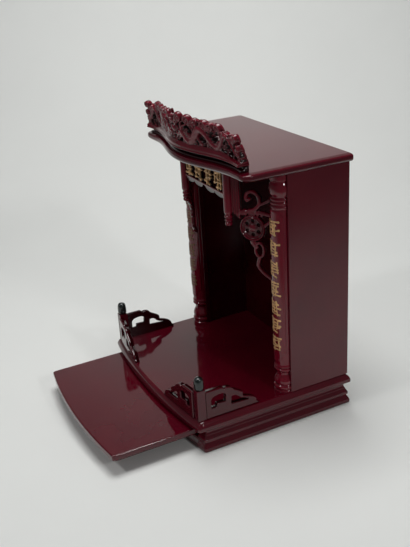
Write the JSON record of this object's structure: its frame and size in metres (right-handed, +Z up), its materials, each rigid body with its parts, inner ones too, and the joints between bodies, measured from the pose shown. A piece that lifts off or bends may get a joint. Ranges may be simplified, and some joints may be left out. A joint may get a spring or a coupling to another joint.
{
  "type": "lacquered household altar",
  "caption": "Lacquered household altar: open niche on a moulded plinth, roof with a carved crest, turned columns, pierced brackets, low corner fences and a pull-out tray.",
  "frame": {"origin": "middle of the rear plinth rail's underside, on the line of the cabinet's back edges", "axes": "+Z up, +X to the right as seen from the front, -Y towards the front where the tray pulls out"},
  "size_m": [0.458, 0.566, 0.666],
  "materials": {
    "red_lacquer": "clear dark red gloss lacquer over wood",
    "dark_lacquer": "dark red satin lacquer inside the niche",
    "carved_lacquer": "dark red gloss lacquer, pooled dark in the carving",
    "deep_lacquer": "darker gloss lacquer on the pierced brackets and the valance",
    "gold_paint": "dull gold paint on raised marks",
    "knob_paint": "near-black green gloss paint"
  },
  "bodies": {
    "cabinet": {"plinth_front": "red_lacquer", "plinth_back": "red_lacquer", "plinth_right": "red_lacquer", "plinth_left": "red_lacquer", "base_board": "red_lacquer", "side_panel_right": "red_lacquer", "side_panel_left": "red_lacquer", "stile_right": "red_lacquer", "stile_left": "red_lacquer", "roof_board": "red_lacquer", "fence_post_right": "red_lacquer", "fence_post_left": "red_lacquer", "fence_side_right": "red_lacquer", "fence_side_left": "red_lacquer", "fence_front_right": "red_lacquer", "fence_front_left": "red_lacquer", "tray_runner_right": "dark_lacquer", "tray_runner_left": "dark_lacquer", "inner_wall_right": "dark_lacquer", "inner_wall_left": "dark_lacquer", "back_panel": "dark_lacquer", "column_right": "carved_lacquer", "column_left": "carved_lacquer", "crest": "carved_lacquer", "pendant_right": "carved_lacquer", "pendant_left": "carved_lacquer", "valance": "deep_lacquer", "bracket_right": "deep_lacquer", "bracket_left": "deep_lacquer", "knob_right": "knob_paint", "knob_left": "knob_paint"},
    "tray": {"tray": "red_lacquer"}
  },
  "joints": [
    {"name": "tray_slide", "type": "slide", "parent": "cabinet", "child": "tray", "axis": [0, 1, 0], "range_m": [0, 0.185]}
  ]
}
